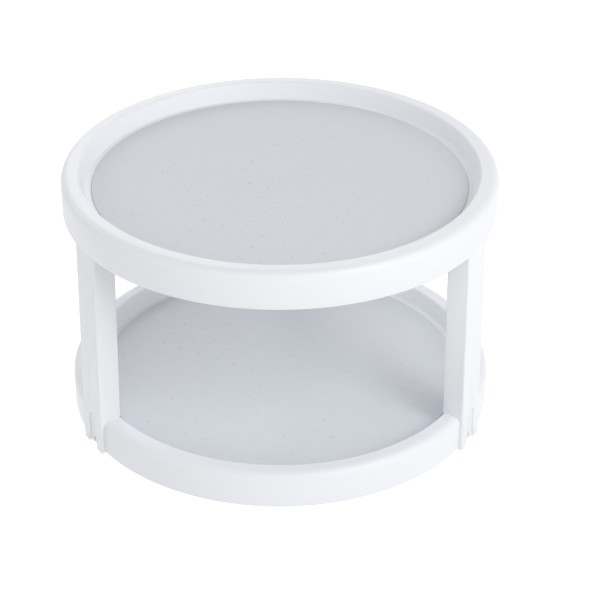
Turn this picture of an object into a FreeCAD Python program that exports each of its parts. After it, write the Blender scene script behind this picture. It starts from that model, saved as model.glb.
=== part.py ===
import FreeCAD, Part
import Sketcher
import math
import os
import re

# Two-tier lazy susan turntable, millimetres, +Z up.
# Origin: on the spin axis, at the surface that the foot pads stand on.
# Two equal dished trays with non-skid mats are held apart by three hollow
# pillars that straddle the lower rim. The stack turns as one on a ball race
# between the lower tray and a base plate with foot pads.

SIZES = {
    # overall
    "total_height": 152.4,
    "tray_radius": 127.0,
    "skirt_clearance": 0.8,
    # tray section, measured down from the crest of the rim
    "tray_wall": 2.0,
    "rim_round": 5.0,
    "crest_width": 10.6,
    "crest_round": 1.4,
    "inner_wall_run": 2.9,
    "ring_depth": 10.6,
    "floor_ring_width": 3.7,
    "mat_gap": 0.15,
    "mat_recess": 0.8,
    "mat_thickness": 1.6,
    "mat_edge_round": 0.35,
    "floor_thickness": 2.0,
    # ribs under the trays
    "rib_count": 12,
    "rib_thickness": 1.4,
    "rib_depth": 1.6,
    "rib_start": 24.0,
    "rib_end_gap": 1.5,
    # pillars
    "pillar_count": 3,
    "pillar_azimuth": 90.0,
    "pillar_width": 22.9,
    "pillar_depth": 13.2,
    "pillar_inset": 0.5,
    "pillar_lean": 2.4,
    "pillar_wall": 1.8,
    "pillar_corner": 0.9,
    "foot_drop": 0.5,
    "seat_gap": 0.1,
    "tenon_inset": 0.5,
    "peg_width": 12.0,
    "peg_depth": 3.6,
    "peg_length": 6.0,
    "peg_gap": 0.2,
    "plug_width": 16.0,
    "plug_gap": 0.3,
    "plug_length": 6.0,
    "latch_width": 6.0,
    "latch_height": 3.0,
    "latch_reach": 1.5,
    "latch_rise": 7.2,
    "catch_sill": 1.4,
    "catch_round": 1.5,
    "groove_width": 7.6,
    "groove_depth": 1.2,
    "groove_stop": 0.4,
    "groove_round": 2.9,
    "notch_width": 10.6,
    "notch_rise": 5.6,
    # hub
    "hub_radius": 7.0,
    "hub_running_gap": 0.08,
    "hub_well_radius": 12.6,
    "hub_well_depth": 3.0,
    "hub_boss_radius": 16.0,
    "hub_boss_drop": 3.0,
    "hub_lift": 0.2,
    "washer_radius": 11.0,
    "washer_thickness": 0.8,
    "screw_radius": 1.5,
    "screw_length": 5.6,
    "screw_end_gap": 0.3,
    "screw_head_radius": 3.6,
    "screw_head_height": 1.6,
    "screw_head_round": 0.6,
    "screw_slot_width": 0.9,
    "screw_slot_depth": 0.8,
    "washer_gap": 0.1,
    # ball race
    "race_radius": 62.0,
    "race_width": 12.0,
    "race_rise": 1.2,
    "race_ring_rise": 2.8,
    "ball_radius": 2.0,
    "ball_gap": 0.1,
    "ball_sink": 0.9,
    "ball_count": 16,
    "cage_width": 9.0,
    "pocket_gap": 0.1,
    "cage_thickness": 1.2,
    # base plate and feet
    "base_radius": 88.0,
    "base_level": 1.0,
    "base_thickness": 2.0,
    "base_rim_width": 2.4,
    "base_rim_rise": 2.2,
    "pad_radius": 7.0,
    "pad_circle": 77.0,
    "pad_recess": 0.6,
    "pad_edge_round": 0.4,
    "pad_count": 6,
}

doc = FreeCAD.newDocument("turntable")
sheet = doc.addObject("Spreadsheet::Sheet", "sizes")


def enter(alias, content):
    """Put one size on the next row of the sheet, under its alias."""
    row = len(known) + 1
    sheet.set(f"A{row}", alias)
    sheet.set(f"B{row}", content)
    sheet.setAlias(f"B{row}", alias)
    known.append(alias)


known = []
for alias, number in SIZES.items():
    enter(alias, repr(number))

# ball race between base plate and lower tray
enter("base_top", "=base_level + base_thickness")
enter("race_top", "=base_top + race_rise")
enter("race_in", "=race_radius - race_width / 2")
enter("race_out", "=race_radius + race_width / 2")
enter("groove_radius", "=ball_radius + ball_gap")
enter("ball_level", "=race_top - ball_sink + groove_radius")
enter("upper_race", "=2 * ball_level - race_top")
enter("cage_bottom", "=ball_level - cage_thickness / 2")
enter("pocket_radius", "=ball_radius + pocket_gap")
# levels of the two tiers, above the surface that the pads stand on: the lower one
# rests on the race, and its rim sets the skirt that both trays have
enter("upper_crest", "=total_height")
enter("mat_seat_drop", "=ring_depth + mat_recess")
enter("floor_drop", "=mat_seat_drop + floor_thickness")
enter("floor_under", "=upper_race + race_ring_rise")
enter("lower_crest", "=floor_under + floor_drop")
enter("skirt_height", "=lower_crest - skirt_clearance")
enter("mat_seat", "=lower_crest - mat_seat_drop")
enter("upper_floor_under", "=upper_crest - floor_drop")
enter("upper_skirt_bottom", "=upper_crest - skirt_height")
# radii of the tray section; the sloping inner wall keeps its thickness
enter("skirt_inner", "=tray_radius - tray_wall")
enter("crest_inner", "=tray_radius - crest_width")
enter("wall_slope", "=inner_wall_run / ring_depth")
enter("ring_outer", "=crest_inner - inner_wall_run")
enter("crest_under_inner", "=crest_inner + (1 - wall_slope) * tray_wall")
enter("floor_under_radius", "=crest_inner + tray_wall - wall_slope * floor_drop")
enter("mat_radius", "=ring_outer - floor_ring_width")
enter("mat_seat_radius", "=mat_radius + mat_gap")
enter("rib_end", "=ring_outer - rib_end_gap")
# pillar: its outer and inner faces lean outwards on the way down
enter("pillar_top", "=upper_skirt_bottom - seat_gap")
enter("pillar_foot", "=skirt_clearance - foot_drop")
enter("pillar_seat", "=lower_crest + seat_gap")
enter("pillar_top_out", "=tray_radius - pillar_inset")
enter("pillar_top_in", "=pillar_top_out - pillar_depth")
enter("pillar_foot_out", "=pillar_top_out + pillar_lean")
enter("pillar_foot_in", "=pillar_top_in + pillar_lean")
enter("pillar_slope", "=pillar_lean / (pillar_top - pillar_foot)")
enter("tenon_top", "=upper_floor_under - seat_gap")
enter("tenon_out", "=sqrt(skirt_inner ^ 2 - pillar_width ^ 2 / 4) - tenon_inset")
enter("hollow_bottom", "=pillar_seat + pillar_wall")
enter("hollow_shift", "=pillar_slope * (pillar_top - hollow_bottom)")
enter("mouth_level", "=pillar_top - pillar_wall")
enter("mouth_in", "=pillar_top_in + pillar_wall")
enter("mouth_out", "=tenon_out - pillar_wall")
enter("mouth_width", "=pillar_width - 2 * pillar_wall")
# plug of the upper tray in the pillar's mouth, peg of the pillar in the lower crest
enter("plug_out", "=mouth_out - plug_gap")
enter("plug_in", "=mouth_in + plug_gap")
enter("plug_bottom", "=tenon_top - plug_length")
enter("peg_out", "=tray_radius - rim_round - peg_gap")
enter("peg_in", "=peg_out - peg_depth")
enter("peg_bottom", "=lower_crest - peg_length")
enter("latch_level", "=skirt_clearance + latch_rise")
enter("latch_top", "=latch_level + latch_height")
enter("latch_root", "=(tray_radius + seat_gap + pillar_foot_out - groove_depth) / 2")
enter("groove_top", "=lower_crest - groove_stop")
enter("notch_top", "=skirt_clearance + notch_rise")
# hub: the washer bears on the hub's end and clears the tray's well
enter("hub_bore", "=hub_radius + hub_running_gap")
enter("well_floor", "=mat_seat - hub_well_depth")
enter("boss_bottom", "=floor_under - hub_boss_drop")
enter("hub_top", "=well_floor + hub_lift")
enter("washer_top", "=hub_top + washer_thickness")
enter("pilot_bottom", "=washer_top - screw_length - screw_end_gap")
enter("pad_top", "=base_level + pad_recess")
doc.recompute()


def size(alias):
    """A size of the sheet as a plain number."""
    return float(getattr(sheet, alias))


def linked(formula):
    """A formula of aliases, as an expression that refers to the sheet."""
    return re.sub(r"[a-z]\w+", lambda word: f"sizes.{word[0]}" if word[0] in known else word[0], formula)


def value(formula):
    """The same formula worked out as a plain number."""
    return float(probe.evalExpression(linked(formula)))


probe = doc.addObject("App::FeaturePython", "probe")


def pin(sketch, direction, geometry, end, formula):
    """Hold one end of a line at a distance from the sketch's axis."""
    distance = value(formula)
    if abs(distance) < 1e-9:
        axis = -2 if direction == "DistanceX" else -1
        sketch.addConstraint(Sketcher.Constraint("PointOnObject", geometry, end, axis))
        return
    index = sketch.addConstraint(Sketcher.Constraint(direction, -1, 1, geometry, end, distance))
    sketch.setExpression(f"Constraints[{index}]", linked(formula))


def step(start, end):
    """Which way a level or upright side runs, as whole numbers."""
    turn = end - start
    turn.normalize()
    return round(turn.x), round(turn.y)


def outline(sketch, corners, rounds=None):
    """Closed outline through corners, pairs of formulas listed counter-clockwise.

    rounds gives the radius formula of a rounded corner by its place in the list;
    the two sides of such a corner are level and upright.
    """
    rounds = rounds or {}
    places = [FreeCAD.Vector(value(across), value(up), 0) for across, up in corners]
    stops = []
    for index, (across, up) in enumerate(corners):
        if index not in rounds:
            stops.append([(across, up)])
            continue
        radius = rounds[index]
        before = step(places[index - 1], places[index])
        after = step(places[index], places[(index + 1) % len(corners)])
        enters = (f"{across} - {before[0]} * ({radius})", f"{up} - {before[1]} * ({radius})")
        leaves = (f"{across} + {after[0]} * ({radius})", f"{up} + {after[1]} * ({radius})")
        stops.append([enters, leaves, radius, before, after])
    ends = []
    for stop, following in zip(stops, stops[1:] + stops[:1]):
        start, end = stop[1] if len(stop) > 1 else stop[0], following[0]
        line = Part.LineSegment(
            FreeCAD.Vector(value(start[0]), value(start[1]), 0),
            FreeCAD.Vector(value(end[0]), value(end[1]), 0),
        )
        index = sketch.addGeometry(line)
        ends.append(index)
        for end_number, point in ((1, start), (2, end)):
            if end_number == 2 and len(following) == 1:
                continue
            pin(sketch, "DistanceX", index, end_number, point[0])
            pin(sketch, "DistanceY", index, end_number, point[1])
    for index, stop in enumerate(stops):
        arriving, leaving = ends[index - 1], ends[index]
        if len(stop) == 1:
            sketch.addConstraint(Sketcher.Constraint("Coincident", arriving, 2, leaving, 1))
            continue
        round_corner(sketch, stop, arriving, leaving, places[index])


def round_corner(sketch, stop, arriving, leaving, corner):
    """Arc between two pinned sides of an outline."""
    formula, before, after = stop[2:]
    radius = value(formula)
    centre = corner + FreeCAD.Vector(after[0] - before[0], after[1] - before[1], 0) * radius
    convex = before[0] * after[1] - before[1] * after[0] > 0
    if convex:
        from_angle = math.atan2(-after[1], -after[0])
        to_angle = math.atan2(before[1], before[0])
    else:
        from_angle = math.atan2(before[1], before[0])
        to_angle = math.atan2(-after[1], -after[0])
    circle = Part.Circle(centre, FreeCAD.Vector(0, 0, 1), radius)
    arc = sketch.addGeometry(Part.ArcOfCircle(circle, from_angle, to_angle))
    start, end = (1, 2) if convex else (2, 1)
    sketch.addConstraint(Sketcher.Constraint("Coincident", arriving, 2, arc, start))
    sketch.addConstraint(Sketcher.Constraint("Coincident", leaving, 1, arc, end))
    index = sketch.addConstraint(Sketcher.Constraint("Radius", arc, radius))
    sketch.setExpression(f"Constraints[{index}]", linked(formula))


def new_sketch(body, role, name, offset=None):
    """Sketch on one of the body's own planes, moved along its normal by a formula."""
    sketch = body.newObject("Sketcher::SketchObject", name)
    plane = next(item for item in body.Origin.OriginFeatures if item.Role == role)
    sketch.AttachmentSupport = [(plane, "")]
    sketch.MapMode = "FlatFace"
    if offset:
        sketch.setExpression("AttachmentOffset.Base.z", linked(offset))
        doc.recompute()
    return sketch


def new_body(label):
    body = doc.addObject("PartDesign::Body", label)
    body.Label = label
    return body


def turned(body, corners, rounds=None, name="section", cut=False):
    """Revolve a radius and level outline about the spin axis, or cut it away."""
    sketch = new_sketch(body, "XZ_Plane", name)
    outline(sketch, corners, rounds)
    return swept_round(body, sketch, cut)


def swept_round(body, sketch, cut):
    kind = "PartDesign::Groove" if cut else "PartDesign::Revolution"
    feature = body.newObject(kind, sketch.Name + "_turned")
    feature.Profile = sketch
    feature.ReferenceAxis = (sketch, ["V_Axis"])
    feature.Angle = 360
    doc.recompute()
    return feature


def extruded(body, sketch, length, midplane=False):
    feature = body.newObject("PartDesign::Pad", sketch.Name + "_pad")
    feature.Profile = sketch
    feature.setExpression("Length", linked(length))
    feature.Midplane = midplane
    doc.recompute()
    return feature


def cut_through(body, sketch, length=None, midplane=False, outward=False):
    """Pocket against the sketch's normal, or along it when outward."""
    feature = body.newObject("PartDesign::Pocket", sketch.Name + "_pocket")
    feature.Profile = sketch
    feature.Midplane = midplane
    feature.Reversed = outward
    if length:
        feature.setExpression("Length", linked(length))
    else:
        feature.Type = "ThroughAll"
    doc.recompute()
    return feature


def repeated(body, feature, count, angle=360):
    """The same feature again, evenly spaced about the spin axis."""
    axis = next(item for item in body.Origin.OriginFeatures if item.Role == "Z_Axis")
    pattern = body.newObject("PartDesign::PolarPattern", feature.Name + "_pattern")
    pattern.Originals = [feature]
    pattern.Axis = (axis, [""])
    pattern.Angle = angle
    if isinstance(count, str):
        pattern.setExpression("Occurrences", linked(count))
    else:
        pattern.Occurrences = count
    body.Tip = pattern
    doc.recompute()
    return pattern


def rounded(body, wanted, radius):
    """Fillet every edge of the body that the test picks out."""
    base = body.Tip
    names = [f"Edge{number}" for number, edge in enumerate(base.Shape.Edges, start=1) if wanted(edge)]
    fillet = body.newObject("PartDesign::Fillet", body.Name + "_fillet")
    fillet.Base = (base, names)
    fillet.setExpression("Radius", linked(radius))
    doc.recompute()
    return fillet


def is_ring(radius, level):
    """Test for a circular edge about the spin axis."""
    def test(edge):
        curve = edge.Curve
        if not isinstance(curve, Part.Circle):
            return False
        return abs(curve.Radius - value(radius)) < 1e-4 and abs(curve.Center.z - value(level)) < 1e-4
    return test


def box_corners(left, right, low, high):
    return [(left, low), (right, low), (right, high), (left, high)]


def turn_about_axis(item, angle):
    item.Placement = FreeCAD.Placement(FreeCAD.Vector(), FreeCAD.Rotation(FreeCAD.Vector(0, 0, 1), angle))


# ---------------------------------------------------------------- trays and mats

def tray(label, crest, floor_inside):
    """Dished tray: skirt, rounded rim, sloping inner wall, floor ring and sunk mat seat."""
    body = new_body(label)
    corners = [
        ("skirt_inner", f"{crest} - skirt_height"),
        ("tray_radius", f"{crest} - skirt_height"),
        ("tray_radius", crest),
        ("crest_inner", crest),
        ("ring_outer", f"{crest} - ring_depth"),
        ("mat_seat_radius", f"{crest} - ring_depth"),
        ("mat_seat_radius", f"{crest} - mat_seat_drop"),
        *floor_inside,
        ("floor_under_radius", f"{crest} - floor_drop"),
        ("crest_under_inner", f"{crest} - tray_wall"),
        ("skirt_inner", f"{crest} - tray_wall"),
    ]
    rounds = {2: "rim_round", len(corners) - 1: "rim_round - tray_wall"}
    turned(body, corners, rounds)
    rounded(body, is_ring("crest_inner", crest), "crest_round")
    ribs = new_sketch(body, "XY_Plane", f"{label}_rib", f"{crest} - floor_drop - rib_depth")
    outline(ribs, box_corners("rib_start", "rib_end", "-rib_thickness / 2", "rib_thickness / 2"))
    repeated(body, extruded(body, ribs, "rib_depth + floor_thickness / 2"), "rib_count")
    return body


def lower_tray():
    floor_inside = [
        ("hub_well_radius", "mat_seat"),
        ("hub_well_radius", "well_floor"),
        ("hub_bore", "well_floor"),
        ("hub_bore", "boss_bottom"),
        ("hub_boss_radius", "boss_bottom"),
        ("hub_boss_radius", "floor_under"),
        ("race_in", "floor_under"),
        ("race_in", "upper_race"),
        ("race_out", "upper_race"),
        ("race_out", "floor_under"),
    ]
    body = tray("lower_tray", "lower_crest", floor_inside)
    ball_groove(body)
    slot = new_sketch(body, "XY_Plane", "peg_slot", "lower_crest")
    half = "(peg_width / 2 + peg_gap)"
    outline(slot, box_corners("peg_in - peg_gap", "peg_out + peg_gap", f"-{half}", half))
    repeated(body, cut_through(body, slot, "2 * tray_wall"), "pillar_count")
    catch = new_sketch(body, "YZ_Plane", "catch_slot", "skirt_inner - tray_wall")
    sill = "skirt_clearance + catch_sill"
    corners = box_corners("-notch_width / 2", "notch_width / 2", sill, "latch_top + peg_gap")
    outline(catch, corners, dict.fromkeys(range(4), "catch_round"))
    repeated(body, cut_through(body, catch, outward=True), "pillar_count")
    turn_about_axis(body, size("pillar_azimuth"))
    return body


def upper_tray():
    floor_inside = [("0", "upper_crest - mat_seat_drop"), ("0", "upper_floor_under")]
    body = tray("upper_tray", "upper_crest", floor_inside)
    plug = new_sketch(body, "XY_Plane", "plug", "plug_bottom")
    outline(plug, box_corners("plug_in", "plug_out", "-plug_width / 2", "plug_width / 2"))
    height = "upper_crest - tray_wall / 2 - plug_bottom"
    repeated(body, extruded(body, plug, height), "pillar_count")
    turn_about_axis(body, size("pillar_azimuth"))
    return body


def mat(label, crest):
    body = new_body(label)
    bottom = f"{crest} - mat_seat_drop"
    top = f"{crest} - mat_seat_drop + mat_thickness"
    turned(body, box_corners("0", "mat_radius", bottom, top), {2: "mat_edge_round"})
    return body


# ---------------------------------------------------------------- pillars

def pillar(label, azimuth):
    """Hollow box column with a tenon above and a saddle foot over the lower rim.

    It is drawn with the radius along X, then turned about the spin axis.
    """
    body = new_body(label)
    column = new_sketch(body, "XZ_Plane", f"{label}_column")
    outline(column, [
        ("pillar_foot_out", "pillar_foot"),
        ("pillar_top_out", "pillar_top"),
        ("pillar_top_in", "pillar_top"),
        ("pillar_foot_in", "pillar_foot"),
    ])
    extruded(body, column, "pillar_width", midplane=True)
    rounded(body, is_upright, "pillar_corner")
    turned(
        body,
        box_corners("pillar_top_in - pillar_wall", "tray_radius + seat_gap", "0", "pillar_seat"),
        {2: "rim_round + seat_gap"},
        f"{label}_saddle",
        cut=True,
    )
    tenon = new_sketch(body, "XZ_Plane", f"{label}_tenon")
    outline(tenon, box_corners("pillar_top_in", "tenon_out", "pillar_top - pillar_wall", "tenon_top"))
    extruded(body, tenon, "pillar_width - 2 * pillar_corner", midplane=True)
    peg = new_sketch(body, "XZ_Plane", f"{label}_peg")
    outline(peg, box_corners("peg_in", "peg_out", "peg_bottom", "pillar_seat + pillar_wall / 2"))
    extruded(body, peg, "peg_width", midplane=True)
    hollow = new_sketch(body, "XZ_Plane", f"{label}_hollow")
    outline(hollow, [
        ("pillar_top_out + hollow_shift - pillar_wall", "hollow_bottom"),
        ("pillar_top_out + pillar_slope * pillar_wall - pillar_wall", "mouth_level"),
        ("mouth_out", "mouth_level"),
        ("mouth_out", "tenon_top + pillar_wall"),
        ("mouth_in", "tenon_top + pillar_wall"),
        ("mouth_in", "pillar_top"),
        ("mouth_in + hollow_shift", "hollow_bottom"),
    ])
    cut_through(body, hollow, "mouth_width", midplane=True)
    latch = new_sketch(body, "XZ_Plane", f"{label}_latch")
    outline(latch, box_corners("tray_radius - latch_reach", "latch_root", "latch_level", "latch_top"))
    extruded(body, latch, "latch_width", midplane=True)
    groove = new_sketch(body, "YZ_Plane", f"{label}_groove", "pillar_foot_out - groove_depth")
    corners = box_corners("-groove_width / 2", "groove_width / 2", "0", "groove_top")
    outline(groove, corners, {2: "groove_round", 3: "groove_round"})
    cut_through(body, groove, outward=True)
    notch = new_sketch(body, "YZ_Plane", f"{label}_notch", "tray_radius")
    corners = box_corners("-notch_width / 2", "notch_width / 2", "0", "notch_top")
    outline(notch, corners, {2: "catch_round", 3: "catch_round"})
    cut_through(body, notch, outward=True)
    turn_about_axis(body, azimuth)
    return body


def is_upright(edge):
    """Test for a long edge of the column."""
    return edge.BoundBox.ZLength > 0.9 * (value("pillar_top") - value("pillar_foot"))


# ---------------------------------------------------------------- base and bearing

def ball_groove(body):
    """Round-bottomed groove that the balls run in."""
    sketch = new_sketch(body, "XZ_Plane", f"{body.Name}_race")
    circle(sketch, "race_radius", "ball_level", "groove_radius")
    return swept_round(body, sketch, cut=True)


def circle(sketch, across, up, radius):
    centre = FreeCAD.Vector(value(across), value(up), 0)
    index = sketch.addGeometry(Part.Circle(centre, FreeCAD.Vector(0, 0, 1), value(radius)))
    pin(sketch, "DistanceX", index, 3, across)
    pin(sketch, "DistanceY", index, 3, up)
    place = sketch.addConstraint(Sketcher.Constraint("Radius", index, value(radius)))
    sketch.setExpression(f"Constraints[{place}]", linked(radius))


def base_plate():
    """Round plate with a stiff edge, a raised ball race, a hub and seats for the pads."""
    body = new_body("base_plate")
    turned(body, [
        ("0", "base_level"),
        ("base_radius", "base_level"),
        ("base_radius", "base_top + base_rim_rise"),
        ("base_radius - base_rim_width", "base_top + base_rim_rise"),
        ("base_radius - base_rim_width", "base_top"),
        ("race_out", "base_top"),
        ("race_out", "race_top"),
        ("race_in", "race_top"),
        ("race_in", "base_top"),
        ("hub_radius", "base_top"),
        ("hub_radius", "hub_top"),
        ("screw_radius", "hub_top"),
        ("screw_radius", "pilot_bottom"),
        ("0", "pilot_bottom"),
    ])
    ball_groove(body)
    seat = new_sketch(body, "XY_Plane", "pad_seat", "pad_top")
    circle(seat, "pad_circle", "0", "pad_radius + mat_gap")
    repeated(body, cut_through(body, seat), "pad_count")
    return body


def foot_pad(label, azimuth):
    body = new_body(label)
    turned(body, box_corners("0", "pad_radius", "0", "pad_top"), {1: "pad_edge_round"})
    reach = size("pad_circle")
    body.Placement.Base = FreeCAD.Vector(reach * math.cos(azimuth), reach * math.sin(azimuth), 0)
    return body


def ball_cage():
    body = new_body("ball_cage")
    inner = "race_radius - cage_width / 2"
    outer = "race_radius + cage_width / 2"
    turned(body, box_corners(inner, outer, "cage_bottom", "cage_bottom + cage_thickness"))
    pocket = new_sketch(body, "XY_Plane", "ball_pocket", "cage_bottom + cage_thickness")
    circle(pocket, "race_radius", "0", "pocket_radius")
    repeated(body, cut_through(body, pocket), "ball_count")
    return body


def bearing_ball(label, azimuth):
    ball = doc.addObject("Part::Sphere", label)
    ball.Label = label
    ball.setExpression("Radius", linked("ball_radius"))
    ball.setExpression("Placement.Base.x", linked(f"race_radius * {math.cos(azimuth)!r}"))
    ball.setExpression("Placement.Base.y", linked(f"race_radius * {math.sin(azimuth)!r}"))
    ball.setExpression("Placement.Base.z", linked("ball_level"))
    return ball


def hub_washer():
    body = new_body("hub_washer")
    turned(body, box_corners("screw_radius + washer_gap", "washer_radius", "hub_top", "washer_top"))
    return body


def hub_screw():
    """Pan-head screw with a crossed slot."""
    body = new_body("hub_screw")
    turned(body, [
        ("0", "washer_top - screw_length"),
        ("screw_radius", "washer_top - screw_length"),
        ("screw_radius", "washer_top"),
        ("screw_head_radius", "washer_top"),
        ("screw_head_radius", "washer_top + screw_head_height"),
        ("0", "washer_top + screw_head_height"),
    ], {4: "screw_head_round"})
    slot = new_sketch(body, "XY_Plane", "screw_slot", "washer_top + screw_head_height")
    reach = "0.65 * screw_head_radius"
    outline(slot, box_corners(f"-{reach}", reach, "-screw_slot_width / 2", "screw_slot_width / 2"))
    repeated(body, cut_through(body, slot, "screw_slot_depth"), 2, angle=90)
    return body


def around(count):
    """Azimuths of evenly spaced copies, in radians."""
    return [2 * math.pi * index / count for index in range(int(count))]


# ---------------------------------------------------------------- the whole stack

pieces = [
    base_plate(),
    ball_cage(),
    hub_washer(),
    hub_screw(),
    lower_tray(),
    mat("lower_mat", "lower_crest"),
    upper_tray(),
    mat("upper_mat", "upper_crest"),
]
for name, turn in (("pillar_back", 0), ("pillar_left", 1), ("pillar_right", 2)):
    pieces.append(pillar(name, size("pillar_azimuth") + turn * 360 / size("pillar_count")))
for number, azimuth in enumerate(around(size("pad_count")), start=1):
    pieces.append(foot_pad(f"foot_pad_{number}", azimuth))
for number, azimuth in enumerate(around(size("ball_count")), start=1):
    pieces.append(bearing_ball(f"bearing_ball_{number:02d}", azimuth))
doc.recompute()

for item in doc.Objects:
    if {"Invalid", "Error"} & set(item.State):
        raise RuntimeError(f"{item.Label} did not build: {item.State}")
for piece in pieces:
    if piece.Shape.isNull() or not piece.Shape.isValid():
        raise RuntimeError(f"{piece.Label} has no sound shape")
    if len(piece.Shape.Solids) != 1:
        raise RuntimeError(f"{piece.Label} is {len(piece.Shape.Solids)} solids")

os.makedirs("parts", exist_ok=True)
for piece in pieces:
    piece.Shape.exportStep(f"parts/{piece.Label}.step")
    print(f"{piece.Label:18s} {piece.Shape.Volume:10.1f} mm3")
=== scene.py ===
import math

import bmesh
import bpy
from mathutils import Matrix, Vector


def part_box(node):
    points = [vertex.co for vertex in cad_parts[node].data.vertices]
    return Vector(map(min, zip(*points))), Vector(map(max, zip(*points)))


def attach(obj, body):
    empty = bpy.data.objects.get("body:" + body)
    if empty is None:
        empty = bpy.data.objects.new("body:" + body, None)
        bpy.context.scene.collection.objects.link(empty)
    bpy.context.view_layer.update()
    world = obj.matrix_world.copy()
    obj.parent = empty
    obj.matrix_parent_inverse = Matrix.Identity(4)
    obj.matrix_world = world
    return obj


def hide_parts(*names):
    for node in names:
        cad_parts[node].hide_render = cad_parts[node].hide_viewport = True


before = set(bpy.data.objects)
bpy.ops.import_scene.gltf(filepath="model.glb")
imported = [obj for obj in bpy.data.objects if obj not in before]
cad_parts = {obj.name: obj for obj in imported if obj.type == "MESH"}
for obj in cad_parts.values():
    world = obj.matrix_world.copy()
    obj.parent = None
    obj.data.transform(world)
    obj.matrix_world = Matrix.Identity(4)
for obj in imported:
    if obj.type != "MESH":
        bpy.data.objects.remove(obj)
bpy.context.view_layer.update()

MM = 0.001

# ---------------------------------------------------------------- sizes, in metres
# The trays and pillars take their places from the model's parts; the section's own sizes are here.

LOWER_LOW, LOWER_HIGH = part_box("lower_tray")
UPPER_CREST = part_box("upper_tray")[1].z
LOWER_MAT_LOW, LOWER_MAT_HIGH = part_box("lower_mat")
TRAY_RADIUS = LOWER_HIGH.x
LOWER_CREST = LOWER_HIGH.z
SKIRT_HEIGHT = LOWER_CREST - LOWER_LOW.z
TRAY_WALL = 2.0 * MM
RIM_ROUND = 5.0 * MM
CREST_INNER = TRAY_RADIUS - 10.6 * MM
CREST_ROUND = 1.6 * MM
RING_OUTER = CREST_INNER - 2.9 * MM
RING_DEPTH = 10.6 * MM
RING_ROUND = 1.0 * MM
MAT_RADIUS = LOWER_MAT_HIGH.x
MAT_GAP = 0.02 * MM
SEAT_DEPTH = LOWER_CREST - LOWER_MAT_LOW.z
FLOOR_DEPTH = SEAT_DEPTH + 2.0 * MM
LIP_ROUND = 0.6 * MM
SEAT_ROUND = 0.2 * MM
INNER_ROUND = 3 * MM
CREST_EASE = 0.85
RING_EASE = 0.98

RIB_COUNT = 12
RIB_START = 24 * MM
RIB_INSET = 1.5 * MM
RIB_HALF = 0.7 * MM
RIB_DEPTH = 1.6 * MM

HUB_POCKET_RADIUS = 12.6 * MM
HUB_POCKET_DEPTH = 3.0 * MM
HUB_BORE = 7.08 * MM
HUB_BOSS_RADIUS = 16 * MM
HUB_BOSS_DROP = 3 * MM
RACE_INNER = 56 * MM
RACE_OUTER = 68 * MM
RACE_RISE = 2.8 * MM
# Section of the ball groove in millimetres: radius, and rise above the race's face.
RACE_GROOVE = [(59.9, 0.0), (60.6, 0.6), (62, 0.9), (63.4, 0.6), (64.1, 0.0)]

# Cutters and joined blocks reach this far past the face they meet.
OVERLAP = 1 * MM

PILLAR_COUNT = 3
PILLAR_WIDTH = 22.9 * MM
PILLAR_DEPTH = 13.2 * MM
PILLAR_WALL = 1.8 * MM
PILLAR_CORNER = 0.9 * MM
PILLAR_TOP_OUT = TRAY_RADIUS - 0.5 * MM
PILLAR_FOOT_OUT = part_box("pillar_back")[1].y
SEAT_GAP = 0.1 * MM
SADDLE_GAP = 0.02 * MM
SADDLE_MARGIN = 5 * MM
TENON_OUT = 124.0 * MM
TENON_ROOT = 2 * MM
EDGE_SOFTENING = 0.12 * MM
# An edge that rises more than this is one of the four uprights.
UPRIGHT_LENGTH = 0.1

PEG_IN, PEG_OUT = 118.2 * MM, 121.8 * MM
PEG_HALF = 6 * MM
PEG_DEPTH = 6 * MM
PEG_SLOT_IN, PEG_SLOT_OUT = 118 * MM, 122 * MM
PEG_SLOT_HALF = 6.2 * MM
PEG_SLOT_DEPTH = 4 * MM

LATCH_RISE = 7.2 * MM
LATCH_HEIGHT = 3 * MM
LATCH_HALF = 3 * MM
LATCH_REACH = 1.5 * MM
LATCH_ROOT = 0.5 * MM
CATCH_REACH = (123 * MM, 130 * MM)
CATCH_SILL = 1.4 * MM
CATCH_TOP = 10.4 * MM
GROOVE_WIDTH = 7.6 * MM
GROOVE_DEPTH = 1.2 * MM
GROOVE_STOP = 0.4 * MM
GROOVE_ROUND = 2.9 * MM
NOTCH_WIDTH = 10.6 * MM
NOTCH_RISE = 5.6 * MM
NOTCH_ROUND = 1.5 * MM
FOOT_CUT_REACH = 135 * MM
FOOT_CUT_LOW = -1 * MM

DOT_PITCH = 12.9 * MM
DOT_RADIUS = 1.0 * MM
DOT_HEIGHT = 0.32 * MM
DOT_TURN = math.radians(-30.0)
DOT_MARGIN = 3.0 * MM
DOT_STEPS = 16
# Section of a dot: shares of its radius and of its height.
DOT_PROFILE = [(1.18, -0.35), (1.16, 0.0), (1.02, 0.16), (0.86, 0.45), (0.6, 0.78), (0.3, 0.95)]
MAT_EDGE = 0.7 * MM
MAT_RINGS = (0.75, 0.5, 0.25)

ROUND_SEGMENTS = 240
ON_AXIS = 1e-7
SMOOTH_ANGLE = 35.0
MAT_SMOOTH_ANGLE = 50.0


# ---------------------------------------------------------------- shader arithmetic

class Value:
    """One shader socket that takes part in plain arithmetic."""

    def __init__(self, paint, socket):
        self.paint = paint
        self.socket = socket

    def combine(self, operation, first, second):
        return self.paint.node("ShaderNodeMath", {"operation": operation}, {0: first, 1: second})

    def __add__(self, other):
        return self.combine("ADD", self, other)

    def __radd__(self, other):
        return self.combine("ADD", other, self)

    def __mul__(self, other):
        return self.combine("MULTIPLY", self, other)

    def __rmul__(self, other):
        return self.combine("MULTIPLY", other, self)


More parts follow.
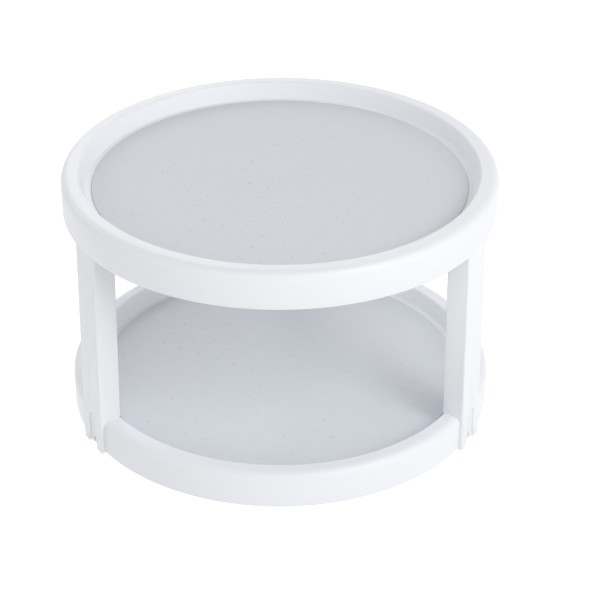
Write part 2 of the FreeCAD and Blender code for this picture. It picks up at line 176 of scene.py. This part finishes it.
class Paint:
    """The node tree of one material, or of the world."""

    def __init__(self, owner, shader="Principled BSDF"):
        self.owner = owner
        self.owner.use_nodes = True
        self.tree = self.owner.node_tree
        self.shader = self.tree.nodes[shader]

    def node(self, kind, settings=None, inputs=None, output=0):
        """Add a node: its settings first, then the values or links of its sockets."""
        made = self.tree.nodes.new(kind)
        for name, setting in (settings or {}).items():
            if name == "stops":
                self.place_stops(made.color_ramp.elements, setting)
            else:
                setattr(made, name, setting)
        for name, given in (inputs or {}).items():
            self.feed(made.inputs[name], given)
        return Value(self, made.outputs[output])

    def place_stops(self, stops, levels):
        """Set the grey stops of a ramp from pairs of position and brightness."""
        stops[0].position = levels[0][0]
        stops[1].position = levels[-1][0]
        for level, _ in levels[1:-1]:
            stops.new(level)
        for stop, (_, glow) in zip(stops, levels):
            stop.color = rgb(glow, glow, glow)

    def feed(self, socket, given):
        if isinstance(given, Value):
            self.tree.links.new(given.socket, socket)
        else:
            socket.default_value = given

    def finish(self, **inputs):
        """Feed the shader's own sockets, with spaces written as underscores."""
        for name, given in inputs.items():
            self.feed(self.shader.inputs[name.replace("_", " ")], given)
        return self.owner

    def noise(self, scale, detail):
        place = self.node("ShaderNodeTexCoord", output="Object")
        return self.node(
            "ShaderNodeTexNoise",
            None,
            {"Vector": place, "Scale": scale, "Detail": detail},
            "Fac",
        )

    def bump(self, height, distance, strength):
        return self.node(
            "ShaderNodeBump",
            None,
            {"Height": height, "Distance": distance, "Strength": strength},
            "Normal",
        )

    def blend(self, factor, first, second):
        """Mix of two colours."""
        return self.node(
            "ShaderNodeMix", {"data_type": "RGBA"}, {0: factor, 6: first, 7: second}, 2
        )


def rgb(red, green, blue):
    return (red, green, blue, 1.0)


def moulded_plastic(name, light, dark, roughness):
    """Satin moulding: faint flow clouds in colour and gloss over a very fine grain."""
    paint = Paint(bpy.data.materials.new(name))
    clouds = paint.noise(scale=22.0, detail=3.0)
    grain = paint.noise(scale=2600.0, detail=2.0)
    ripple = paint.noise(scale=55.0, detail=1.0)
    relief = grain * 0.35 + ripple * 0.65
    return paint.finish(
        Base_Color=paint.blend(clouds, light, dark),
        Roughness=clouds * 0.10 + (roughness - 0.05),
        Normal=paint.bump(relief, distance=0.00006, strength=0.35),
        IOR=1.49,
    )


def mat_rubber(name, light, dark):
    """Soft matt rubber with a fine pebbled skin."""
    paint = Paint(bpy.data.materials.new(name))
    clouds = paint.noise(scale=16.0, detail=3.0)
    skin = paint.noise(scale=1500.0, detail=3.0)
    return paint.finish(
        Base_Color=paint.blend(clouds, light, dark),
        Roughness=skin * 0.12 + 0.54,
        Normal=paint.bump(skin, distance=0.0001, strength=0.35),
        Sheen_Weight=0.12,
        IOR=1.45,
    )


def steel(name, color, roughness):
    """Bare metal with a slight haze in its gloss."""
    paint = Paint(bpy.data.materials.new(name))
    haze = paint.noise(scale=400.0, detail=2.0)
    return paint.finish(
        Base_Color=color,
        Metallic=1.0,
        Roughness=haze * 0.08 + roughness,
    )


TRAY_WHITE = moulded_plastic(
    "tray_white", rgb(0.865, 0.885, 0.915), rgb(0.85, 0.87, 0.90), roughness=0.42
)
PILLAR_WHITE = moulded_plastic(
    "pillar_white", rgb(0.865, 0.88, 0.905), rgb(0.85, 0.865, 0.89), roughness=0.42
)
BASE_WHITE = moulded_plastic(
    "base_white", rgb(0.80, 0.81, 0.82), rgb(0.78, 0.79, 0.80), roughness=0.5
)
CAGE_NYLON = moulded_plastic(
    "cage_nylon", rgb(0.83, 0.81, 0.74), rgb(0.80, 0.78, 0.70), roughness=0.5
)
MAT_GREY = mat_rubber("mat_grey", rgb(0.688, 0.708, 0.752), rgb(0.672, 0.692, 0.736))
PAD_GREY = mat_rubber("pad_grey", rgb(0.30, 0.31, 0.33), rgb(0.26, 0.27, 0.29))
BALL_STEEL = steel("ball_steel", rgb(0.72, 0.72, 0.73), roughness=0.08)
SCREW_STEEL = steel("screw_steel", rgb(0.62, 0.63, 0.64), roughness=0.26)


# ---------------------------------------------------------------- mesh tools

def finished(name, mesh_builder, material, smooth_angle=SMOOTH_ANGLE):
    """Turn a bmesh into an object of the scene, shaded smooth up to an angle."""
    mesh = bpy.data.meshes.new(name)
    bmesh.ops.recalc_face_normals(mesh_builder, faces=mesh_builder.faces)
    mesh_builder.to_mesh(mesh)
    mesh_builder.free()
    piece = bpy.data.objects.new(name, mesh)
    bpy.context.scene.collection.objects.link(piece)
    if material:
        mesh.materials.append(material)
    shade(mesh, smooth_angle)
    return piece


def shade(mesh, smooth_angle=SMOOTH_ANGLE):
    mesh.shade_smooth()
    mesh.set_sharp_from_angle(angle=math.radians(smooth_angle))


def arc(centre, radius, start, end, steps):
    """Points of a round corner in a radius and level outline, both ends included."""
    points = []
    for index in range(steps + 1):
        angle = math.radians(start + (end - start) * index / steps)
        points.append((centre[0] + radius * math.cos(angle), centre[1] + radius * math.sin(angle)))
    return points


def lathe(section, segments=ROUND_SEGMENTS):
    """Closed solid of revolution; points of the section on the axis become single points."""
    builder = bmesh.new()
    rings = []
    for radius, level in section:
        if radius < ON_AXIS:
            rings.append([builder.verts.new((0, 0, level))])
            continue
        ring = []
        for index in range(segments):
            angle = 2 * math.pi * index / segments
            x, y = radius * math.cos(angle), radius * math.sin(angle)
            ring.append(builder.verts.new((x, y, level)))
        rings.append(ring)
    for ring, following in zip(rings, rings[1:] + rings[:1]):
        if len(ring) == 1 and len(following) == 1:
            continue
        for index in range(segments):
            after = (index + 1) % segments
            if len(ring) == 1:
                builder.faces.new((ring[0], following[index], following[after]))
            elif len(following) == 1:
                builder.faces.new((ring[index], following[0], ring[after]))
            else:
                builder.faces.new((ring[index], following[index], following[after], ring[after]))
    return builder


def prism(corners, place):
    """Solid between two matching outlines: place(corner, side) gives each point, side -1 or 1."""
    builder = bmesh.new()
    near = [builder.verts.new(place(corner, -1)) for corner in corners]
    far = [builder.verts.new(place(corner, 1)) for corner in corners]
    builder.faces.new(near)
    builder.faces.new(reversed(far))
    for index in range(len(corners)):
        after = (index + 1) % len(corners)
        builder.faces.new((near[index], near[after], far[after], far[index]))
    return builder


def radial_prism(corners, width):
    """Outline in radius and level, as wide as given across the radius, which runs along X."""
    return prism(corners, lambda corner, side: (corner[0], side * width / 2, corner[1]))


def block(low, high):
    """Box between two opposite corners."""
    corners = [(low[0], low[2]), (high[0], low[2]), (high[0], high[2]), (low[0], high[2])]
    ends = (low[1], high[1])
    return prism(corners, lambda corner, side: (corner[0], ends[side > 0], corner[1]))


def arch(reach, width, low, high, rounding):
    """Upright slot cutter across the radius, with rounded upper corners."""
    half = width / 2
    corners = [(-half, low), (half, low)]
    corners += arc((half - rounding, high - rounding), rounding, 0, 90, 6)
    corners += arc((rounding - half, high - rounding), rounding, 90, 180, 6)
    return prism(corners, lambda corner, side: (reach[side > 0], corner[0], corner[1]))


def spun(builder, count, first=0.0):
    """The same solid again, evenly spaced about the spin axis."""
    source = bpy.data.meshes.new("spun")
    builder.to_mesh(source)
    builder.free()
    joined = bmesh.new()
    for index in range(count):
        turn = Matrix.Rotation(first + 2 * math.pi * index / count, 4, "Z")
        source.transform(turn)
        joined.from_mesh(source)
        source.transform(turn.inverted())
    bpy.data.meshes.remove(source)
    return joined


def combine(piece, builder, operation):
    """Cut a solid out of a piece, or add it, and keep the result as the piece's own mesh."""
    tool = finished("tool", builder, None)
    change = piece.modifiers.new("combine", "BOOLEAN")
    change.operation = operation
    change.solver = "EXACT"
    change.object = tool
    settle(piece)
    bpy.data.objects.remove(tool)


def settle(piece):
    """Apply every modifier of a piece."""
    evaluated = piece.evaluated_get(bpy.context.evaluated_depsgraph_get())
    mesh = bpy.data.meshes.new_from_object(evaluated)
    piece.modifiers.clear()
    piece.data = mesh


def soften(piece, width, angle=40.0, segments=2):
    """Small round on every hard edge."""
    bevel = piece.modifiers.new("soften", "BEVEL")
    bevel.width = width
    bevel.segments = segments
    bevel.limit_method = "ANGLE"
    bevel.angle_limit = math.radians(angle)
    bevel.harden_normals = False
    settle(piece)


# ---------------------------------------------------------------- trays

def tray_section(crest, floor_inside):
    """Outline of a tray from the skirt's lower edge, over the rim and in to the floor, and back."""
    slope = math.degrees(math.atan2(RING_DEPTH, CREST_INNER - RING_OUTER))
    lean = (CREST_INNER - RING_OUTER) / RING_DEPTH
    low = crest - SKIRT_HEIGHT
    inner = TRAY_RADIUS - TRAY_WALL
    section = arc((TRAY_RADIUS - LIP_ROUND, low + LIP_ROUND), LIP_ROUND, -90, 0, 4)
    section += arc((TRAY_RADIUS - RIM_ROUND, crest - RIM_ROUND), RIM_ROUND, 0, 90, 14)
    turn = 180 - (90 - slope)
    crown = (CREST_INNER + CREST_ROUND * CREST_EASE, crest - CREST_ROUND)
    section += arc(crown, CREST_ROUND, 90, turn, 7)
    foot = (RING_OUTER + RING_ROUND * lean, crest - RING_DEPTH + RING_ROUND)
    section += arc((foot[0] - RING_ROUND * RING_EASE, foot[1]), RING_ROUND, 0, -90, 5)
    brink = (MAT_RADIUS + MAT_GAP + SEAT_ROUND, crest - RING_DEPTH - SEAT_ROUND)
    section += arc(brink, SEAT_ROUND, 90, 180, 3)
    section += [(MAT_RADIUS + MAT_GAP, crest - SEAT_DEPTH)]
    section += floor_inside
    section += [
        (CREST_INNER + TRAY_WALL - lean * FLOOR_DEPTH, crest - FLOOR_DEPTH),
        (CREST_INNER + (1 - lean) * TRAY_WALL, crest - TRAY_WALL),
    ]
    section += arc((inner - INNER_ROUND, crest - RIM_ROUND), INNER_ROUND, 90, 0, 6)
    section += [(inner, low + LIP_ROUND / 2), (inner + LIP_ROUND / 2, low)]
    return section


def make_tray(name, crest, floor_inside):
    """Turned shell with ribs under its floor."""
    tray = finished(name, lathe(tray_section(crest, floor_inside)), TRAY_WHITE)
    under = crest - FLOOR_DEPTH
    rib = block(
        (RIB_START, -RIB_HALF, under - RIB_DEPTH),
        (RING_OUTER - RIB_INSET, RIB_HALF, under + OVERLAP),
    )
    combine(tray, spun(rib, RIB_COUNT), "UNION")
    return tray


def make_upper_tray():
    under = UPPER_CREST - FLOOR_DEPTH
    plain_floor = [(0, UPPER_CREST - SEAT_DEPTH), (0, under)]
    tray = make_tray("upper_tray_shell", UPPER_CREST, plain_floor)
    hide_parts("upper_tray")
    return tray


def make_lower_tray():
    """Tray with a hub bore, the upper ball groove, and slots for the pillars' pegs and catches."""
    under = LOWER_CREST - FLOOR_DEPTH
    seat = LOWER_CREST - SEAT_DEPTH
    race = under - RACE_RISE
    section = [
        (HUB_POCKET_RADIUS, seat),
        (HUB_POCKET_RADIUS, seat - HUB_POCKET_DEPTH),
        (HUB_BORE, seat - HUB_POCKET_DEPTH),
        (HUB_BORE, under - HUB_BOSS_DROP),
        (HUB_BOSS_RADIUS, under - HUB_BOSS_DROP),
        (HUB_BOSS_RADIUS, under),
        (RACE_INNER, under),
        (RACE_INNER, race),
    ]
    section += [(radius * MM, race + rise * MM) for radius, rise in RACE_GROOVE]
    section += [(RACE_OUTER, race), (RACE_OUTER, under)]
    tray = make_tray("lower_tray_shell", LOWER_CREST, section)
    slot = block(
        (PEG_SLOT_IN, -PEG_SLOT_HALF, LOWER_CREST - PEG_SLOT_DEPTH),
        (PEG_SLOT_OUT, PEG_SLOT_HALF, LOWER_CREST + OVERLAP),
    )
    combine(tray, spun(slot, PILLAR_COUNT, math.pi / 2), "DIFFERENCE")
    sill, top = LOWER_LOW.z + CATCH_SILL, LOWER_LOW.z + CATCH_TOP
    catch = arch(CATCH_REACH, NOTCH_WIDTH, sill, top, NOTCH_ROUND)
    combine(tray, spun(catch, PILLAR_COUNT, math.pi / 2), "DIFFERENCE")
    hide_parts("lower_tray")
    return tray


# ---------------------------------------------------------------- mats

def make_mat(name, node, turn):
    """Rubber disc with rounded edges and a square grid of raised dots."""
    low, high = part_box(node)
    radius = high.x
    section = [(0, low.z), (radius, low.z)]
    section += arc((radius - MAT_EDGE, high.z - MAT_EDGE), MAT_EDGE, 0, 90, 5)
    section += [(radius * share, high.z) for share in MAT_RINGS] + [(0, high.z)]
    builder = lathe(section)
    reach = int(radius / DOT_PITCH) + 1
    for row in range(-reach, reach + 1):
        for column in range(-reach, reach + 1):
            across = column * DOT_PITCH
            along = row * DOT_PITCH
            if math.hypot(across, along) > radius - DOT_MARGIN:
                continue
            x = across * math.cos(turn) - along * math.sin(turn)
            y = across * math.sin(turn) + along * math.cos(turn)
            add_dot(builder, Vector((x, y, high.z)))
    mat = finished(name, builder, MAT_GREY, MAT_SMOOTH_ANGLE)
    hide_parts(node)
    return mat


def add_dot(builder, foot):
    """Low dome with a flared foot, sunk a little into the mat."""
    rings = []
    for spread, rise in DOT_PROFILE:
        ring = []
        for index in range(DOT_STEPS):
            angle = 2 * math.pi * index / DOT_STEPS
            place = Vector((math.cos(angle), math.sin(angle), 0)) * DOT_RADIUS * spread
            ring.append(builder.verts.new(foot + place + Vector((0, 0, rise * DOT_HEIGHT))))
        rings.append(ring)
    for ring, following in zip(rings, rings[1:]):
        for index in range(DOT_STEPS):
            after = (index + 1) % DOT_STEPS
            builder.faces.new((ring[index], ring[after], following[after], following[index]))
    top = builder.verts.new(foot + Vector((0, 0, DOT_HEIGHT)))
    for index in range(DOT_STEPS):
        builder.faces.new((rings[-1][index], rings[-1][(index + 1) % DOT_STEPS], top))
    builder.faces.new(reversed(rings[0]))


# ---------------------------------------------------------------- pillars

def make_pillar(node, azimuth):
    """Hollow box column with a tenon above and a saddle foot over the lower rim."""
    top = UPPER_CREST - SKIRT_HEIGHT - SEAT_GAP
    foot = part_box(node)[0].z
    lean = PILLAR_FOOT_OUT - PILLAR_TOP_OUT
    top_in = PILLAR_TOP_OUT - PILLAR_DEPTH
    column = radial_prism([
        (PILLAR_FOOT_OUT, foot), (PILLAR_TOP_OUT, top), (top_in, top), (top_in + lean, foot),
    ], PILLAR_WIDTH)
    upright = [
        edge for edge in column.edges
        if abs(edge.verts[0].co.z - edge.verts[1].co.z) > UPRIGHT_LENGTH
    ]
    bmesh.ops.bevel(
        column, geom=upright, offset=PILLAR_CORNER, segments=5, profile=0.5, affect="EDGES"
    )
    pillar = finished(node + "_shell", column, PILLAR_WHITE)
    seat = LOWER_CREST + SADDLE_GAP
    reach = TRAY_RADIUS + SADDLE_GAP
    rounding = RIM_ROUND + SADDLE_GAP
    inside = top_in - SADDLE_MARGIN
    section = [(inside, foot - SADDLE_MARGIN), (reach, foot - SADDLE_MARGIN)]
    section += arc((reach - rounding, seat - rounding), rounding, 0, 90, 14)
    section += [(inside, seat)]
    combine(pillar, lathe(section), "DIFFERENCE")
    tenon_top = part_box(node)[1].z
    half = PILLAR_WIDTH / 2 - PILLAR_CORNER
    tenon = block((top_in, -half, top - TENON_ROOT), (TENON_OUT, half, tenon_top))
    combine(pillar, tenon, "UNION")
    peg = block(
        (PEG_IN, -PEG_HALF, LOWER_CREST - PEG_DEPTH), (PEG_OUT, PEG_HALF, seat + OVERLAP)
    )
    combine(pillar, peg, "UNION")
    wall = PILLAR_WALL
    shift = lean * (top - seat - wall) / (top - foot)
    hollow = radial_prism([
        (PILLAR_TOP_OUT + shift - wall, seat + wall),
        (PILLAR_TOP_OUT - wall, top - wall),
        (TENON_OUT - wall, top - wall),
        (TENON_OUT - wall, tenon_top + wall),
        (top_in + wall, tenon_top + wall),
        (top_in + wall, top),
        (top_in + wall + shift, seat + wall),
    ], PILLAR_WIDTH - 2 * wall)
    combine(pillar, hollow, "DIFFERENCE")
    latch = LOWER_LOW.z + LATCH_RISE
    hook = block(
        (TRAY_RADIUS - LATCH_REACH, -LATCH_HALF, latch),
        (TRAY_RADIUS + LATCH_ROOT, LATCH_HALF, latch + LATCH_HEIGHT),
    )
    combine(pillar, hook, "UNION")
    groove_reach = (PILLAR_FOOT_OUT - GROOVE_DEPTH, FOOT_CUT_REACH)
    groove_top = LOWER_CREST - GROOVE_STOP
    groove = arch(groove_reach, GROOVE_WIDTH, FOOT_CUT_LOW, groove_top, GROOVE_ROUND)
    combine(pillar, groove, "DIFFERENCE")
    notch_reach = (TRAY_RADIUS, FOOT_CUT_REACH)
    notch = arch(notch_reach, NOTCH_WIDTH, FOOT_CUT_LOW, LOWER_LOW.z + NOTCH_RISE, NOTCH_ROUND)
    combine(pillar, notch, "DIFFERENCE")
    soften(pillar, EDGE_SOFTENING)
    pillar.data.transform(Matrix.Rotation(azimuth, 4, "Z"))
    shade(pillar.data)
    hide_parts(node)
    return pillar


# ---------------------------------------------------------------- the object

TURNTABLE = [
    make_upper_tray(),
    make_lower_tray(),
    make_mat("upper_mat_skin", "upper_mat", DOT_TURN),
    make_mat("lower_mat_skin", "lower_mat", DOT_TURN),
]
for node, index in (("pillar_back", 0), ("pillar_left", 1), ("pillar_right", 2)):
    TURNTABLE.append(make_pillar(node, math.pi / 2 + index * 2 * math.pi / PILLAR_COUNT))
for piece in TURNTABLE:
    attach(piece, "turntable")

CARRIED = {
    "base_plate": BASE_WHITE,
    "ball_cage": CAGE_NYLON,
    "bearing_ball": BALL_STEEL,
    "foot_pad": PAD_GREY,
    "hub": SCREW_STEEL,
}
for name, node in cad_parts.items():
    for start, material in CARRIED.items():
        if name.startswith(start):
            node.data.materials.clear()
            node.data.materials.append(material)
            shade(node.data)


# ---------------------------------------------------------------- floor, light and camera

# Glow of the tent by height: 0 is straight down, 0.5 level and 1 straight up.
TENT = [(0.48, 0.77), (0.52, 0.87), (0.70, 0.86), (0.80, 0.46), (0.91, 0.43), (0.95, 0.22)]

# Softboxes that stand round the object: azimuth, elevation and power.
SOFTBOXES = [(-50, 40, 12.8), (-22, 30, 2.4), (-90, 50, 2.4), (104, 30, 4.0), (150, 30, 3.0)]
SOFTBOX_DISTANCE = 2.0
SOFTBOX_SIZE = 1.0
AIM = Vector((0, 0, 0.076))

FLOOR_SIDE = 3.0
FLOOR_FRONT = -3.0
FLOOR_BACK = 1.2
FLOOR_SWEEP = 0.8
FLOOR_TOP = 3.0
FLOOR_SWEEP_STEPS = 12
FLOOR_GLOW = 0.75
# The floor's glow sets in between these radii, so it stays dark under the object as a painted
# shadow.
PAINTED_SHADOW_RADIUS, PAINTED_SHADOW_EDGE = 0.113, 0.126

CAMERA_DISTANCE = 1.0655
CAMERA_ELEVATION = math.radians(30.365)
CAMERA_TURN = math.radians(-0.61)
CAMERA_ROLL = math.radians(-0.155)
CAMERA_SENSOR = 36.0
CAMERA_LENS = 106.1
CAMERA_SHIFT = (0.0330, -0.0375)
CAMERA_REACH = 20.0


def make_floor():
    """Pale glowing floor that rises behind the object in one sweep; its glow is masked off under
    the object, which paints a shadow there.
    """
    paint = Paint(bpy.data.materials.new("floor_pale"))
    tone = paint.noise(scale=0.8, detail=1.0)
    place = paint.node("ShaderNodeTexCoord", output="Object")
    reach = paint.node("ShaderNodeVectorMath", {"operation": "LENGTH"}, {0: place}, "Value")
    # Glow mask for the painted shadow: no glow under the object, full glow beyond it.
    glow_beyond_painted_shadow = paint.node(
        "ShaderNodeMapRange",
        {"interpolation_type": "SMOOTHSTEP"},
        {"Value": reach, "From Min": PAINTED_SHADOW_RADIUS, "From Max": PAINTED_SHADOW_EDGE},
    )
    material = paint.finish(
        Base_Color=paint.blend(tone, rgb(0.60, 0.60, 0.60), rgb(0.58, 0.58, 0.58)),
        Roughness=0.9,
        Emission_Color=paint.blend(glow_beyond_painted_shadow, rgb(0.0, 0.0, 0.0), rgb(1.0, 1.0, 1.0)),
        Emission_Strength=FLOOR_GLOW,
    )
    builder = bmesh.new()
    profile = [(FLOOR_FRONT, 0.0)]
    for step in range(FLOOR_SWEEP_STEPS + 1):
        angle = math.radians(90.0 / FLOOR_SWEEP_STEPS * step)
        y = FLOOR_BACK + FLOOR_SWEEP * math.sin(angle)
        profile.append((y, FLOOR_SWEEP - FLOOR_SWEEP * math.cos(angle)))
    profile.append((FLOOR_BACK + FLOOR_SWEEP, FLOOR_TOP))
    rows = []
    for y, z in profile:
        rows.append([builder.verts.new((side * FLOOR_SIDE, y, z)) for side in (-1, 1)])
    for row, following in zip(rows, rows[1:]):
        builder.faces.new((row[0], row[1], following[1], following[0]))
    floor = finished("floor", builder, material)
    floor.visible_diffuse = False
    floor.visible_shadow = False


def add_softbox(azimuth, elevation, power):
    """Round softbox that faces the middle of the object."""
    lamp = bpy.data.lights.new("softbox", "AREA")
    lamp.shape = "DISK"
    lamp.size = SOFTBOX_SIZE
    lamp.energy = power
    holder = bpy.data.objects.new("softbox", lamp)
    turn, rise = math.radians(azimuth), math.radians(elevation)
    out = Vector((math.cos(turn) * math.cos(rise), math.sin(turn) * math.cos(rise), math.sin(rise)))
    holder.location = AIM + out * SOFTBOX_DISTANCE
    holder.rotation_euler = (-out).to_track_quat("-Z", "Y").to_euler()
    bpy.context.scene.collection.objects.link(holder)


def make_world():
    """Light tent: bright walls, dimmer towards the top."""
    paint = Paint(bpy.data.worlds.new("studio"), "Background")
    place = paint.node("ShaderNodeTexCoord", output="Generated")
    upward = paint.node("ShaderNodeSeparateXYZ", None, {"Vector": place}, "Z")
    height = paint.node("ShaderNodeMapRange", None, {"Value": upward, "From Min": -1.0})
    glow = paint.node("ShaderNodeValToRGB", {"stops": TENT}, {"Fac": height})
    bpy.context.scene.world = paint.finish(Color=glow)


def make_camera():
    """Long lens that looks down at the middle of the object."""
    out = Vector((0, -math.cos(CAMERA_ELEVATION), math.sin(CAMERA_ELEVATION)))
    out.rotate(Matrix.Rotation(CAMERA_TURN, 3, "Z"))
    lens = bpy.data.cameras.new("camera")
    lens.sensor_width = CAMERA_SENSOR
    lens.lens = CAMERA_LENS
    lens.shift_x, lens.shift_y = CAMERA_SHIFT
    lens.clip_end = CAMERA_REACH
    camera = bpy.data.objects.new("camera", lens)
    camera.location = AIM + out * CAMERA_DISTANCE
    roll = Matrix.Rotation(CAMERA_ROLL, 4, "Z").to_quaternion()
    camera.rotation_mode = "QUATERNION"
    camera.rotation_quaternion = (-out).to_track_quat("-Z", "Y") @ roll
    bpy.context.scene.collection.objects.link(camera)
    bpy.context.scene.camera = camera


make_floor()
make_world()
for softbox in SOFTBOXES:
    add_softbox(*softbox)
make_camera()
bpy.context.scene.view_settings.view_transform = "Standard"
